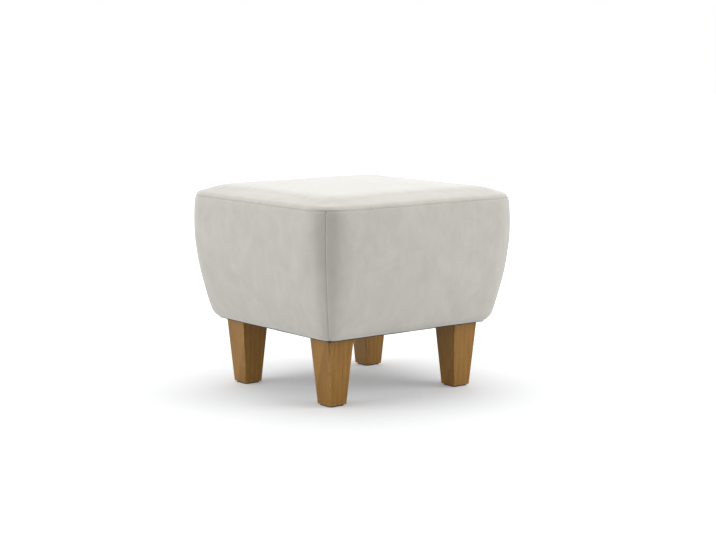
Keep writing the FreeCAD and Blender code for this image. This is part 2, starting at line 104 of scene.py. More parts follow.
class FootstoolShape(PropertyGroup):
    """Sizes of the upholstered body, its cloth and its legs."""

    corner_radius: length("Corner Radius", "Plan radius of the body at its widest", 0.075)
    widest_height: length("Widest Height", "Height at which the side stands upright", 0.366)
    side_draw_in: length("Side Draw-in", "How far the side comes in at the underside", 0.040)
    lower_edge_radius: length("Lower Edge Radius", "Radius of the rounded lower edge", 0.034)
    roll_radius: length("Roll Radius", "Radius of the padded roll above the seam", 0.017)
    hem_width: length("Hem Width", "Cloth turned under the frame", 0.0085)
    seam_lean: degrees("Seam Lean", "How far the side leans in at the seam", 22)
    roll_lean: degrees("Roll Lean", "Lean at which the roll runs into the crown", 70)
    crown_lean: degrees("Crown Lean", "Lean of the crown above the corner axis", 88)
    slack: length("Slack", "How far inside the packed cover the cloth starts", 0.0018)
    puff: length("Puff", "Furthest that the stuffing may push the sides out", 0.0030)
    top_puff: length("Top Puff", "Furthest that the stuffing may push the top out", 0.0024)
    ripple: length("Ripple", "Height of the soft unevenness of the padding", 0.0005)
    seam_fold: length("Seam Fold", "Half of the width of a sewn seam's groove", 0.0024)
    seam_depth: length("Seam Depth", "Depth of a sewn seam's groove", 0.0007)
    cloth_thickness: length("Cloth Thickness", "Thickness of the cover", 0.0012)
    pad_clearance: length("Padding Clearance", "Gap between the padding and its neighbours", 0.005)
    foot_width: length("Foot Width", "Width of a leg at its foot", 0.040)


class FootstoolFinish(PropertyGroup):
    """Colours of the stool's materials."""

    # Painted sheen: the two velvet tones are pile that catches more light and pile that catches less.
    velvet_light: colour("Velvet, Light", "Pile brushed towards the light", (0.528, 0.507, 0.461))
    velvet_dark: colour("Velvet, Dark", "Pile brushed away from the light", (0.463, 0.444, 0.400))
    stain_light: colour("Stain, Light", "Lighter grain of the legs", (0.330, 0.165, 0.032))
    stain_dark: colour("Stain, Dark", "Darker grain of the legs", (0.205, 0.096, 0.015))
    stain_worn: colour("Stain, Worn", "Rubbed edges of the legs", (0.40, 0.23, 0.075))
    timber_light: colour("Timber, Light", "Early wood of the frame", (0.62, 0.43, 0.22))
    timber_dark: colour("Timber, Dark", "Late wood of the frame", (0.40, 0.23, 0.10))
    foam: colour("Foam", "Open-cell foam", (0.78, 0.70, 0.46))
    wadding: colour("Wadding", "Polyester fibre", (0.85, 0.85, 0.84))
    webbing: colour("Webbing", "Woven straps", (0.17, 0.11, 0.055))
    dust_cloth: colour("Dust Cloth", "Cloth under the frame", (0.13, 0.128, 0.12))
    glide: colour("Glide", "Foot pads", (0.020, 0.017, 0.015))


class FootstoolStage(PropertyGroup):
    """The camera, the lamps and the floor."""

    azimuth: degrees("Azimuth", "Camera's turn round the stool", -38.09)
    elevation: degrees("Elevation", "Camera's height above the horizon", 7.92)
    distance: length("Distance", "Camera to its target", 4.113)
    target: FloatVectorProperty(
        name="Target", description="Point that the camera looks at",
        default=(0.3491, 0.4227, 0.1570), subtype="TRANSLATION", size=3,
    )
    focal_length: FloatProperty(
        name="Focal Length", description="On a 36 mm sensor", default=88.5, unit="CAMERA"
    )
    overhead_power: watts("Overhead Power", "Power of the top lamp", 39.0)
    left_power: watts("Left Power", "Power of the left lamp", 31.0)
    right_power: watts("Right Power", "Power of the right lamp", 40.0)
    sky: FloatProperty(name="Sky", description="Strength of the even light from all round", default=0.65)
    floor_size: length("Floor Size", "Width of the floor", 24.0)
    floor_colour: colour("Floor Colour", "Paint of the floor", (0.752, 0.76, 0.77))


# Nodes


class NodeBoard:
    """Adds nodes to a tree, sets their sockets and links them."""

    first_colour = 6
    second_colour = 7
    mixed_colour = 2

    def __init__(self, tree):
        self.tree = tree

    def join(self, source, target):
        self.tree.links.new(source, target)

    def feed(self, socket, value):
        """Links a socket to another node's output, or gives it a plain value."""
        if isinstance(value, bpy.types.NodeSocket):
            self.join(value, socket)
        else:
            socket.default_value = value

    def add(self, kind, settings=None, **sockets):
        """A new node. In the name of a socket, an underscore stands for a space."""
        node = self.tree.nodes.new("ShaderNode" + kind)
        for name, value in (settings or {}).items():
            setattr(node, name, value)
        for name, value in sockets.items():
            self.feed(node.inputs[name.replace("_", " ")], value)
        return node

    def mapped(self, vector, scale=(1, 1, 1), rotation=(0, 0, 0)):
        """Coordinates scaled and turned."""
        return self.add("Mapping", Vector=vector, Scale=scale, Rotation=rotation).outputs["Vector"]

    def noise(self, vector, scale, detail=3.0, roughness=0.55, distortion=0.0):
        node = self.add("TexNoise", Vector=vector, Scale=scale, Detail=detail,
                        Roughness=roughness, Distortion=distortion)
        return node.outputs["Fac"]

    def math(self, operation, first, second, clamp=False):
        node = self.add("Math", {"operation": operation, "use_clamp": clamp})
        self.feed(node.inputs[0], first)
        self.feed(node.inputs[1], second)
        return node.outputs[0]

    def times(self, first, second, clamp=False):
        return self.math("MULTIPLY", first, second, clamp)

    def weighed(self, first, second, share, clamp=False):
        """Two values added, the first at its share and the second at the rest."""
        first = self.times(first, share)
        second = self.times(second, 1 - share)
        return self.math("ADD", first, second, clamp)

    def spread(self, value, low, high, to_low=0.0, to_high=1.0):
        """Stretches a value from one range to another, and stops at its ends."""
        node = self.add("MapRange", {"clamp": True}, Value=value, From_Min=low, From_Max=high,
                        To_Min=to_low, To_Max=to_high)
        return node.outputs["Result"]

    def blend(self, share, first, second, mode="MIX"):
        """Two colours mixed, with the second at its share."""
        node = self.add("Mix", {"data_type": "RGBA", "blend_type": mode}, Factor=share)
        self.feed(node.inputs[self.first_colour], first)
        self.feed(node.inputs[self.second_colour], second)
        return node.outputs[self.mixed_colour]

    def shaded(self, tone, shade):
        """A colour multiplied by a value."""
        grey = self.add("CombineColor", Red=shade, Green=shade, Blue=shade).outputs[0]
        return self.blend(1.0, tone, grey, "MULTIPLY")


SOCKET_KINDS = {"vector": "NodeSocketVector", "colour": "NodeSocketColor", "value": "NodeSocketFloat"}


def node_group(name, inputs, outputs):
    """A shader node group with named sockets, its board, and its input and output nodes."""
    tree = bpy.data.node_groups.new(name, "ShaderNodeTree")
    for socket, kind in inputs:
        tree.interface.new_socket(name=socket, in_out="INPUT", socket_type=SOCKET_KINDS[kind])
    for socket, kind in outputs:
        tree.interface.new_socket(name=socket, in_out="OUTPUT", socket_type=SOCKET_KINDS[kind])
    given = tree.nodes.new("NodeGroupInput").outputs
    result = tree.nodes.new("NodeGroupOutput").inputs
    return tree, NodeBoard(tree), given, result


def pile_nap_sheen_group():
    """Velvet pile: broad clouds where the nap lies one way or the other, their sheen painted in as lighter
    and darker tone, and the fine tufts.
    """
    tree, board, given, result = node_group(
        "Pile Nap",
        [("Vector", "vector"), ("Light", "colour"), ("Dark", "colour"), ("Cloud Scale", "value"),
         ("Tuft Scale", "value")],
        [("Color", "colour"), ("Height", "value")],
    )
    vector = given["Vector"]
    clouds = board.noise(vector, given["Cloud Scale"], detail=4.0, roughness=0.62, distortion=0.9)
    stroke_scale = board.times(given["Cloud Scale"], 3.4)
    strokes = board.noise(board.mapped(vector, scale=(1, 1, 0.55)), stroke_scale)
    nap_sheen = board.spread(board.weighed(clouds, strokes, share=0.65), 0.36, 0.64)
    tufts = board.noise(vector, given["Tuft Scale"], detail=2.0, roughness=0.6)
    tone = board.weighed(nap_sheen, tufts, share=0.86, clamp=True)
    board.join(board.blend(tone, given["Dark"], given["Light"]), result["Color"])
    board.join(board.weighed(nap_sheen, tufts, share=0.8), result["Height"])
    return tree


def wood_grain_group():
    """Grain that runs along Z: growth rings, fibres and open pores."""
    tree, board, given, result = node_group(
        "Wood Grain",
        [("Vector", "vector"), ("Light", "colour"), ("Dark", "colour"), ("Ring Scale", "value"),
         ("Fibre Scale", "value")],
        [("Color", "colour"), ("Roughness", "value"), ("Height", "value")],
    )
    vector = given["Vector"]
    wander = board.add("TexNoise", Vector=board.mapped(vector, scale=(1, 1, 0.25)),
                       Scale=9.0, Detail=1.0)
    pull = board.add("VectorMath", {"operation": "SCALE"}, Scale=0.008)
    board.join(wander.outputs["Color"], pull.inputs[0])
    bent = board.add("VectorMath", {"operation": "ADD"})
    board.join(vector, bent.inputs[0])
    board.join(pull.outputs[0], bent.inputs[1])
    cut = board.mapped(bent.outputs[0], scale=(1, 0.35, 0.02), rotation=(0, 0, math.radians(28)))
    rings = board.add("TexWave",
                      {"wave_type": "BANDS", "bands_direction": "X", "wave_profile": "SAW"},
                      Vector=cut, Scale=given["Ring Scale"], Distortion=2.2, Detail=2.0, Detail_Scale=1.4)
    fibres = board.noise(board.mapped(bent.outputs[0], scale=(1, 1, 0.012)), given["Fibre Scale"])
    pore_scale = board.times(given["Fibre Scale"], 3.0)
    pores = board.noise(board.mapped(vector, scale=(1, 1, 0.02)), pore_scale, detail=1.0)
    pores = board.spread(pores, 0.62, 0.74)
    tone = board.spread(board.weighed(rings.outputs["Fac"], fibres, share=0.30), 0.18, 0.82)
    tinted = board.blend(tone, given["Dark"], given["Light"])
    pored = board.blend(board.times(pores, 0.25), tinted, given["Dark"], "MULTIPLY")
    board.join(pored, result["Color"])
    board.join(board.spread(pores, 0.0, 1.0, 0.42, 0.68), result["Roughness"])
    height = board.math("SUBTRACT", board.times(fibres, 0.5), board.times(pores, 0.5))
    board.join(height, result["Height"])
    return tree


def edge_wear_group():
    """Paler, rubbed edges: a point attribute marks the edges, and noise breaks them up."""
    tree, board, given, result = node_group(
        "Edge Wear",
        [("Vector", "vector"), ("Color", "colour"), ("Worn", "colour"), ("Amount", "value")],
        [("Color", "colour"), ("Mask", "value")],
    )
    edge = board.add("Attribute", {"attribute_name": "edge_wear"}).outputs["Fac"]
    patches = board.spread(board.noise(given["Vector"], 95.0, detail=4.0, roughness=0.7), 0.42, 0.66)
    mask = board.times(board.times(edge, patches), given["Amount"], clamp=True)
    board.join(board.blend(mask, given["Color"], given["Worn"]), result["Color"])
    board.join(mask, result["Mask"])
    return tree


def weave_group():
    """Plain weave: threads along X and Y that cross over and under."""
    tree, board, given, result = node_group(
        "Plain Weave",
        [("Vector", "vector"), ("Color", "colour"), ("Threads", "value")],
        [("Color", "colour"), ("Height", "value")],
    )
    waves = []
    for direction in ("X", "Y"):
        wave = board.add("TexWave", {"wave_type": "BANDS", "bands_direction": direction},
                         Vector=given["Vector"], Scale=given["Threads"])
        waves.append(wave.outputs["Fac"])
    crossing = board.times(*waves)
    fuzz = board.noise(given["Vector"], 700.0, detail=2.0)
    height = board.math("ADD", crossing, board.times(fuzz, 0.3))
    shade = board.spread(height, 0.0, 1.2, 0.55, 1.15)
    board.join(board.shaded(given["Color"], shade), result["Color"])
    board.join(height, result["Height"])
    return tree


def speckle_group():
    """Small cells, chips or dull spots over a plain colour."""
    tree, board, given, result = node_group(
        "Speckle",
        [("Vector", "vector"), ("Color", "colour"), ("Second", "colour"), ("Scale", "value"),
         ("Share", "value")],
        [("Color", "colour"), ("Height", "value")],
    )
    vector, scale, share = given["Vector"], given["Scale"], given["Share"]
    cells = board.add("TexVoronoi", Vector=vector, Scale=scale).outputs["Distance"]
    broad = board.noise(vector, board.times(scale, 0.12), detail=4.0)
    mask = board.times(board.spread(cells, 0.25, 0.65), share)
    patches = board.times(broad, board.times(share, 0.4))
    mask = board.math("ADD", mask, patches, clamp=True)
    board.join(board.blend(mask, given["Color"], given["Second"]), result["Color"])
    board.join(cells, result["Height"])
    return tree


# Materials


def new_material(name, surface):
    """A material with its board, and its shader set to a surface."""
    material = bpy.data.materials.new(name)
    material.use_nodes = True
    shader = material.node_tree.nodes["Principled BSDF"]
    for socket, value in surface.items():
        shader.inputs[socket].default_value = value
    return material, NodeBoard(material.node_tree), shader


class Finishes:
    """Makes each pattern and each material once."""

    def __init__(self):
        self.groups = {}
        self.made = {}

    def group(self, build):
        if build not in self.groups:
            self.groups[build] = build()
        return self.groups[build]

    def get(self, name, build, **values):
        if name not in self.made:
            self.made[name] = build(name, **values)
        return self.made[name]

    def start(self, name, surface, pattern, pattern_values, bump, rotation=(0, 0, 0)):
        """A material whose pattern feeds its colour and its bump, a strength and a depth in metres."""
        material, board, shader = new_material(name, surface)
        place = board.add("TexCoord").outputs["Object"]
        mapped = board.mapped(place, rotation=rotation)
        node = board.add("Group", {"node_tree": self.group(pattern)}, Vector=mapped)
        for socket, value in pattern_values.items():
            node.inputs[socket].default_value = value
        strength, depth = bump
        raised = board.add("Bump", Strength=strength, Distance=depth, Height=node.outputs["Height"])
        board.join(node.outputs["Color"], shader.inputs["Base Color"])
        board.join(raised.outputs["Normal"], shader.inputs["Normal"])
        if "Roughness" in node.outputs:
            board.join(node.outputs["Roughness"], shader.inputs["Roughness"])
        return material, board, shader, node


FINISHES = Finishes()


def opaque(values):
    """A colour with its alpha."""
    return (values[0], values[1], values[2], 1.0)


def toned(values, factor):
    """A colour made lighter or darker."""
    return [value * factor for value in values]


def velvet(name, light, dark):
    """Pile with a sheen, and painted shade where it is seen end on, at a low angle and down the corner
    seams.
    """
    surface = {
        "Roughness": 0.92,
        "Specular IOR Level": 0.18,
        "Sheen Weight": 0.85,
        "Sheen Roughness": 0.42,
        "Sheen Tint": (1.0, 0.995, 0.98, 1.0),
    }
    # Painted sheen: the light and dark tones mark where the pile catches more or less light.
    pattern = {"Light": opaque(light), "Dark": opaque(dark), "Cloud Scale": 17.0, "Tuft Scale": 1300.0}
    material, board, shader, nap_sheen = FINISHES.start(name, surface, pile_nap_sheen_group, pattern, (0.22, 0.0012))
    # Painted shade: darker where the cloth faces the eye, and a little darker again at a glancing angle.
    facing = board.add("LayerWeight", Blend=0.5).outputs["Facing"]
    painted_end_on_shade = board.spread(facing, 0.0, 0.13, 0.90, 1.0)
    painted_end_on_shade.node.interpolation_type = "SMOOTHSTEP"
    painted_low_angle_shade = board.spread(facing, 0.40, 0.75, 1.0, 0.93)
    # Painted shade: a darker band down each corner seam.
    corner_shade = board.add("Attribute", {"attribute_name": "crushed_pile"}).outputs["Fac"]
    corner_shade = board.spread(corner_shade, 0.0, 1.0, 1.0, 0.90)
    shade = board.times(board.times(painted_end_on_shade, painted_low_angle_shade), corner_shade)
    board.join(board.shaded(nap_sheen.outputs["Color"], shade), shader.inputs["Base Color"])
    return material


def stained_wood(name, light, dark, worn):
    """Stained wood under a thin clear coat, its grain upright, with rubbed edges."""
    surface = {"Specular IOR Level": 0.22, "Coat Weight": 0.08, "Coat Roughness": 0.35}
    pattern = {"Light": opaque(light), "Dark": opaque(dark), "Ring Scale": 30.0, "Fibre Scale": 260.0}
    material, board, shader, grain = FINISHES.start(name, surface, wood_grain_group, pattern, (0.30, 0.0003))
    place = board.add("TexCoord").outputs["Object"]
    wear = board.add("Group", {"node_tree": FINISHES.group(edge_wear_group)},
                     Vector=place, Color=grain.outputs["Color"], Worn=opaque(worn), Amount=0.55)
    board.join(wear.outputs["Color"], shader.inputs["Base Color"])
    return material


def sawn_timber(name, light, dark, rotation, ring_scale):
    """Bare sawn wood, its grain turned to run along the piece."""
    pattern = {"Light": opaque(light), "Dark": opaque(dark), "Ring Scale": ring_scale, "Fibre Scale": 300.0}
    return FINISHES.start(name, {"Specular IOR Level": 0.25}, wood_grain_group, pattern, (0.5, 0.0006),
                          rotation=rotation)[0]


def speckled(name, surface, first, second, scale, share, bump):
    """A plain colour with a share of cells, chips or dull spots in a second colour."""
    pattern = {"Color": opaque(first), "Second": opaque(second), "Scale": scale, "Share": share}
    return FINISHES.start(name, surface, speckle_group, pattern, bump)[0]


def woven(name, surface, tone, threads, bump):
    """Plain woven cloth."""
    pattern = {"Color": opaque(tone), "Threads": threads}
    return FINISHES.start(name, surface, weave_group, pattern, bump)[0]


# Meshes


def placed(name, bm):
    """A new object in the scene that holds a bmesh."""
    mesh = bpy.data.meshes.new(name)
    bm.to_mesh(mesh)
    bm.free()
    piece = bpy.data.objects.new(name, mesh)
    bpy.context.scene.collection.objects.link(piece)
    return piece


def new_piece(name, bm, material, node):
    """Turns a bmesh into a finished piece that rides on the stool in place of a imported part."""
    piece = placed(name, bm)
    piece.data.materials.append(material)
    piece.data.shade_smooth()
    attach(piece, "root")
    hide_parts(node)
    return piece


def smoothed(piece, levels):
    """Rounds the surface between a piece's points."""
    divide = piece.modifiers.new("Smooth Surface", "SUBSURF")
    divide.levels = levels
    divide.render_levels = levels


def thickened(piece, thickness):
    """Gives a sheet its thickness, behind its outer face."""
    wall = piece.modifiers.new("Cloth Thickness", "SOLIDIFY")
    wall.thickness = thickness
    wall.offset = -1.0


def dress(node, material):
    """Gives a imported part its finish."""
    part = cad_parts[node]
    part.data.materials.clear()
    part.data.materials.append(material)


def between(low, high, value):
    """A value held between two others."""
    return max(low, min(high, value))


def eased(share):
    """A share held between 0 and 1, with a soft start and end."""
    share = between(0.0, 1.0, share)
    return share * share * (3 - 2 * share)


# Cover

# How far the sewn cover stands out from the plain profile, or in where negative, by height.
EASE = (
    (0.133, 0.0), (0.138, -0.0006), (0.154, -0.0032), (0.170, -0.0022), (0.203, -0.0010), (0.235, 0.0004),
    (0.300, 0.0005), (0.340, -0.0010), (0.364, -0.0028), (0.386, -0.0026), (0.400, -0.0020), (0.420, 0.0),
)
CROWN_PASSES = 20
PRESS_FRAMES = 20
INWARD_SHARE = 0.1
BROAD_RIPPLE_SCALE = 11.0
SMALL_RIPPLE_SCALE = 31.0
SMALL_RIPPLE_SHARE = 0.35
TUCK_DEPTHS = 3


class Cloth:
    """How finely the cover is divided: counts of its cells, and their width along a side."""

    corner = 12
    shoulder = 3
    belly = 30
    lower_edge = 5
    hem = 3
    roll = 4
    cell = 0.0075

    @classmethod
    def along(cls, half_run):
        return 2 * round(half_run / cls.cell)


class Profile:
    """The line of the body's side in the plane of Y and Z, drawn as arcs that meet smoothly."""

    def __init__(self, bm, start, lean):
        self.bm = bm
        self.points = [bm.verts.new(start)]
        self.lean = lean

    def bend(self, radius, lean, steps):
        """An arc that turns the line to a new lean: 0 faces outwards and a right angle faces up."""
        tip = self.points[-1]
        centre = tip.co + Vector((0, math.cos(self.lean), -math.sin(self.lean))) * radius
        for _ in range(steps):
            made = bmesh.ops.spin(self.bm, geom=[self.points[-1]], cent=centre, axis=(-1, 0, 0),
                                  angle=(lean - self.lean) / steps, steps=1, use_duplicate=False)
            self.points.append(made["geom_last"][0])
        self.lean = lean

    def run(self, step, steps):
        """A straight stretch of equal steps."""
        for _ in range(steps):
            made = bmesh.ops.extrude_vert_indiv(self.bm, verts=[self.points[-1]])
            bmesh.ops.translate(self.bm, verts=made["verts"], vec=step)
            self.points.append(made["verts"][0])


def body_axes(shape):
    """Distances of the corner axes from the middle of the stool."""
    return CAD_HIGH.x - shape.corner_radius, CAD_HIGH.y - shape.corner_radius


def side_sizes(side, shape):
    """Half of a side's run and its distance from the middle, both to the corner axes."""
    axis_x, axis_y = body_axes(shape)
    return (axis_x, axis_y) if side in SIDES_ALONG_X else (axis_y, axis_x)


def shoulder_radius(shape):
    """Radius of the side between its widest line and the seam."""
    return (SEAM_HEIGHT - shape.widest_height) / math.sin(shape.seam_lean)


def side_profile(bm, start, shape):
    """A side's line, from its widest point down to the hem and up to the seam."""
    drop = shape.widest_height - UNDERSIDE
    belly = (drop ** 2 + shape.side_draw_in ** 2) / (2 * shape.side_draw_in)
    lower = shape.lower_edge_radius
    lower_lean = -math.asin((drop - lower) / (belly - lower))
    down = Profile(bm, start, 0.0)
    down.bend(belly - shape.slack, lower_lean, Cloth.belly)
    down.bend(lower - shape.slack, -math.pi / 2, Cloth.lower_edge)
    down.run(Vector((0, shape.hem_width / Cloth.hem, 0)), Cloth.hem)
    up = Profile(bm, start, 0.0)
    up.bend(shoulder_radius(shape) - shape.slack, shape.seam_lean, Cloth.shoulder)
    bmesh.ops.remove_doubles(bm, verts=bm.verts, dist=1e-6)


def side_strip(side, shape):
    """One side of the cover, from seam to hem, with half of the corner's turn at each end."""
    bm = bmesh.new()
    half_run, distance = side_sizes(side, shape)
    widest = -distance - shape.corner_radius + shape.slack
    side_profile(bm, Vector((-half_run, widest, shape.widest_height)), shape)
    left = Vector((-half_run, -distance, 0))
    right = Vector((half_run, -distance, 0))
    eighth = math.pi / 4
    bmesh.ops.rotate(bm, cent=left, matrix=Matrix.Rotation(-eighth, 3, "Z"), verts=bm.verts)
    steps = Cloth.along(half_run)
    stretches = (
        {"cent": left, "angle": eighth, "steps": Cloth.corner},
        {"cent": left, "angle": 0.0, "dvec": (2 * half_run / steps, 0, 0), "steps": steps},
        {"cent": right, "angle": eighth, "steps": Cloth.corner},
    )
    geometry = bm.verts[:] + bm.edges[:]
    for stretch in stretches:
        made = bmesh.ops.spin(bm, geom=geometry, axis=(0, 0, 1), use_duplicate=False, **stretch)
        geometry = made["geom_last"]
    for vert in bm.verts:
        low = 1 - (vert.co.z - UNDERSIDE - shape.slack) / shape.lower_edge_radius
        vert.co.z -= shape.slack * max(0.0, low) ** 2
    turn = Matrix.Rotation(math.pi / 2 * SIDES.index(side), 3, "Z")
    bmesh.ops.rotate(bm, cent=(0, 0, 0), matrix=turn, verts=bm.verts)
    strip = bpy.data.meshes.new("strip_" + side)
    bm.to_mesh(strip)
    bm.free()
    return strip


def crown_line(shape):
    """Reach and height of the top's profile, from the seam to the corner axis."""
    bm = bmesh.new()
    up = Profile(bm, Vector((0, -shape.corner_radius + shape.slack, shape.widest_height)), 0.0)
    up.bend(shoulder_radius(shape) - shape.slack, shape.seam_lean, 1)
    up.bend(shape.roll_radius - shape.slack, shape.roll_lean, Cloth.roll)
    reach = -up.points[-1].co.y
    crown = reach / (math.cos(shape.roll_lean) - math.cos(shape.crown_lean))
    up.bend(crown, shape.crown_lean, Cloth.corner - Cloth.roll)
    line = [(-point.co.y, point.co.z) for point in up.points[1:]]
    bm.free()
    return line


def add_top(bm, shape):
    """The top panel: a grid whose rings follow the rounded outline in to the corner axes."""
    axis_x, axis_y = body_axes(shape)
    line = crown_line(shape)
    crown_height = line[-1][1]
    rise = CAD_HIGH.z - shape.slack - shape.top_puff / 2 - crown_height
    turn = Cloth.corner
    run_x, run_y = Cloth.along(axis_x), Cloth.along(axis_y)
    count_x, count_y = run_x + 2 * turn, run_y + 2 * turn
    grid = bmesh.ops.create_grid(bm, x_segments=count_x, y_segments=count_y, size=1.0)["verts"]
    soft = []
    for vert in grid:
        column = round((vert.co.x + 1) / 2 * count_x)
        row = round((vert.co.y + 1) / 2 * count_y)
        side_x = -1 if column * 2 < count_x else 1
        side_y = -1 if row * 2 < count_y else 1
        from_x = min(column, count_x - column)
        from_y = min(row, count_y - row)
        ring = min(from_x, from_y)
        if ring > Cloth.roll:
            soft.append(vert)
        x = -axis_x + (column - turn) * 2 * axis_x / run_x
        y = -axis_y + (row - turn) * 2 * axis_y / run_y
        if ring >= turn:
            z = crown_height + rise * (1 - (x / axis_x) ** 2) * (1 - (y / axis_y) ** 2)
            vert.co = (x, y, z)
            continue
        reach, z = line[ring]
        if from_x >= turn:
            vert.co = (x, side_y * (axis_y + reach), z)
        elif from_y >= turn:
            vert.co = (side_x * (axis_x + reach), y, z)
        else:
            share = (max(from_x, from_y) - ring) / (turn - ring)
            angle = math.pi / 4 * (1 + share if from_y == ring else 1 - share)
            x = side_x * (axis_x + reach * math.cos(angle))
            y = side_y * (axis_y + reach * math.sin(angle))
            vert.co = (x, y, z)
    for _ in range(CROWN_PASSES):
        bmesh.ops.smooth_vert(bm, verts=soft, factor=0.5, use_axis_z=True)


def joined_panels(shape):
    """The top and the four sides in one mesh, each face marked with its panel's number."""
    bm = bmesh.new()
    panel = bm.faces.layers.int.new("panel")
    for number, name in enumerate(PANELS, 1):
        if name == "top":
            add_top(bm, shape)
        else:
            strip = side_strip(name, shape)
            bm.from_mesh(strip)
            bpy.data.meshes.remove(strip)
        for face in bm.faces:
            if not face[panel]:
                face[panel] = number
    bmesh.ops.remove_doubles(bm, verts=bm.verts, dist=1e-5)
    return bm


def ease_at(height):
    """The cover's ease at a height."""
    for (low, before), (high, after) in zip(EASE, EASE[1:]):
        if low <= height < high:
            return before + (after - before) * (height - low) / (high - low)
    return 0.0


def ease_cover(bm, shape):
    """Moves the cover out or in from its corner axes by its ease."""
    axis_x, axis_y = body_axes(shape)
    for vert in bm.verts:
        core = Vector((between(-axis_x, axis_x, vert.co.x), between(-axis_y, axis_y, vert.co.y), vert.co.z))
        vert.co += (vert.co - core) / shape.corner_radius * ease_at(vert.co.z)


def mark_painted_corner_shade(bm, shape):
    """Marks painted shade down the corner seams, most of all below the roll."""
    axis_x, axis_y = body_axes(shape)
    corner_shade = bm.verts.layers.float.new("crushed_pile")
    for vert in bm.verts:
        out_x, out_y = abs(vert.co.x) - axis_x, abs(vert.co.y) - axis_y
        if vert.co.z <= SEAM_HEIGHT and out_x > 0 and out_y > 0:
            near = 1 - abs(math.atan2(out_y, out_x) - math.pi / 4) / (math.pi / 4)
            rise = between(0.0, 1.0, (vert.co.z - UNDERSIDE) / (SEAM_HEIGHT - UNDERSIDE))
            # Painted shade, strongest at the corner's diagonal and higher up.
            vert[corner_shade] = eased((near - 0.45) / 0.30) * (0.62 + 0.38 * rise)


def mark_seams(bm, shape):
    """Counts the panels that meet at each point, and pins the seams and the lower edge."""
    panel = bm.faces.layers.int["panel"]
    held = bm.verts.layers.deform.verify()
    sewn = bm.verts.layers.int.new("sewn")
    for vert in bm.verts:
        panels = {face[panel] for face in vert.link_faces}
        vert[sewn] = len(panels)
        pulled_tight = max(0.0, 1 - (vert.co.z - UNDERSIDE) / shape.lower_edge_radius)
        vert[held][0] = 1.0 if len(panels) > 1 else pulled_tight ** 2


def body_shell(shape):
    """The whole cover in one piece, facing outwards, with its panels, seams and painted corner shade marked.
    """
    bm = joined_panels(shape)
    ease_cover(bm, shape)
    bmesh.ops.recalc_face_normals(bm, faces=bm.faces)
    highest = max(bm.faces, key=lambda face: face.calc_center_median().z)
    if highest.normal.z < 0:
        bmesh.ops.reverse_faces(bm, faces=bm.faces)
    mark_painted_corner_shade(bm, shape)
    mark_seams(bm, shape)
    return bm


def inflate(shell, shape):
    """Lets the stuffing press the cloth out between its seams, and keeps the shape it takes."""
    scene = bpy.context.scene
    press = shell.modifiers.new("Stuffing", "CLOTH")
    settings = press.settings
    settings.quality = 3
    settings.mass = 0.3
    settings.tension_stiffness = 12.0
    settings.compression_stiffness = 12.0
    settings.shear_stiffness = 6.0
    settings.bending_stiffness = 0.6
    settings.use_pressure = True
    settings.uniform_pressure_force = 4.0
    settings.effector_weights.gravity = 0.0
    settings.vertex_group_mass = "held"
    press.collision_settings.use_collision = False
    for step in range(1, PRESS_FRAMES + 1):
        scene.frame_set(step)
    depsgraph = bpy.context.evaluated_depsgraph_get()
    pressed = shell.evaluated_get(depsgraph).to_mesh()
    lifts = [(after.co - before.co).dot(before.normal)
             for after, before in zip(pressed.vertices, shell.data.vertices)]
    shell.evaluated_get(depsgraph).to_mesh_clear()
    shell.modifiers.remove(press)
    scene.frame_set(1)
    for vert, lift in zip(shell.data.vertices, lifts):
        most = shape.top_puff if vert.co.z > SEAM_HEIGHT else shape.puff
        vert.co += vert.normal * most * math.tanh(max(lift, INWARD_SHARE * lift) / most)


def ripple(shell, shape):
    """The soft unevenness of hand-laid padding."""
    shell.data.update()
    shifts = []
    for vert in shell.data.vertices:
        broad = noise.noise(vert.co * BROAD_RIPPLE_SCALE)
        small = noise.noise(vert.co * SMALL_RIPPLE_SCALE + Vector((5, 1, 9)))
        shifts.append(vert.normal * shape.ripple * (broad + SMALL_RIPPLE_SHARE * small))
    for vert, shift in zip(shell.data.vertices, shifts):
        vert.co += shift


def sewn_panel(shell, number, shape):
    """One panel cut from the cover, its sewn edges rolled over and turned inside."""
    bm = bmesh.new()
    bm.from_mesh(shell.data)
    panel = bm.faces.layers.int["panel"]
    sewn = bm.verts.layers.int["sewn"]
    others = [face for face in bm.faces if face[panel] != number]
    bmesh.ops.delete(bm, geom=others, context="FACES")
    bmesh.ops.inset_region(bm, faces=bm.faces, thickness=shape.seam_fold, use_boundary=True,
                           use_even_offset=True)
    bm.normal_update()
    edges = [edge for edge in bm.edges if edge.is_boundary and all(vert[sewn] > 1 for vert in edge.verts)]
    for vert in {vert for edge in edges for vert in edge.verts}:
        vert.co -= vert.normal * shape.seam_depth
    made = bmesh.ops.extrude_edge_only(bm, edges=edges)["geom"]
    for vert in [item for item in made if isinstance(item, bmesh.types.BMVert)]:
        vert.co -= vert.normal * shape.seam_depth * TUCK_DEPTHS
    return bm


class FOOTSTOOL_OT_cover(Operator):
    """Sew the velvet cover: a crowned top and four sides, pressed out by the stuffing"""

    bl_idname = "footstool.cover"
    bl_label = "Velvet Cover"

    def execute(self, context):
        shape = context.scene.footstool_shape
        finish = context.scene.footstool_finish
        pile = FINISHES.get("Velvet", velvet, light=finish.velvet_light, dark=finish.velvet_dark)
        shell = placed("cover_shell", body_shell(shape))
        shell.vertex_groups.new(name="held")
        inflate(shell, shape)
        ripple(shell, shape)
        for number, name in enumerate(PANELS, 1):
            node = "cover_" + name
            panel = new_piece("velvet_" + name, sewn_panel(shell, number, shape), pile, node)
            smoothed(panel, 1)
            thickened(panel, shape.cloth_thickness)
        bpy.data.objects.remove(shell)
        return {"FINISHED"}


# Padding

PAD_ROUNDING = 0.004
FLAT_ANGLE = math.radians(1.0)
SHARP_ANGLE = math.radians(35)


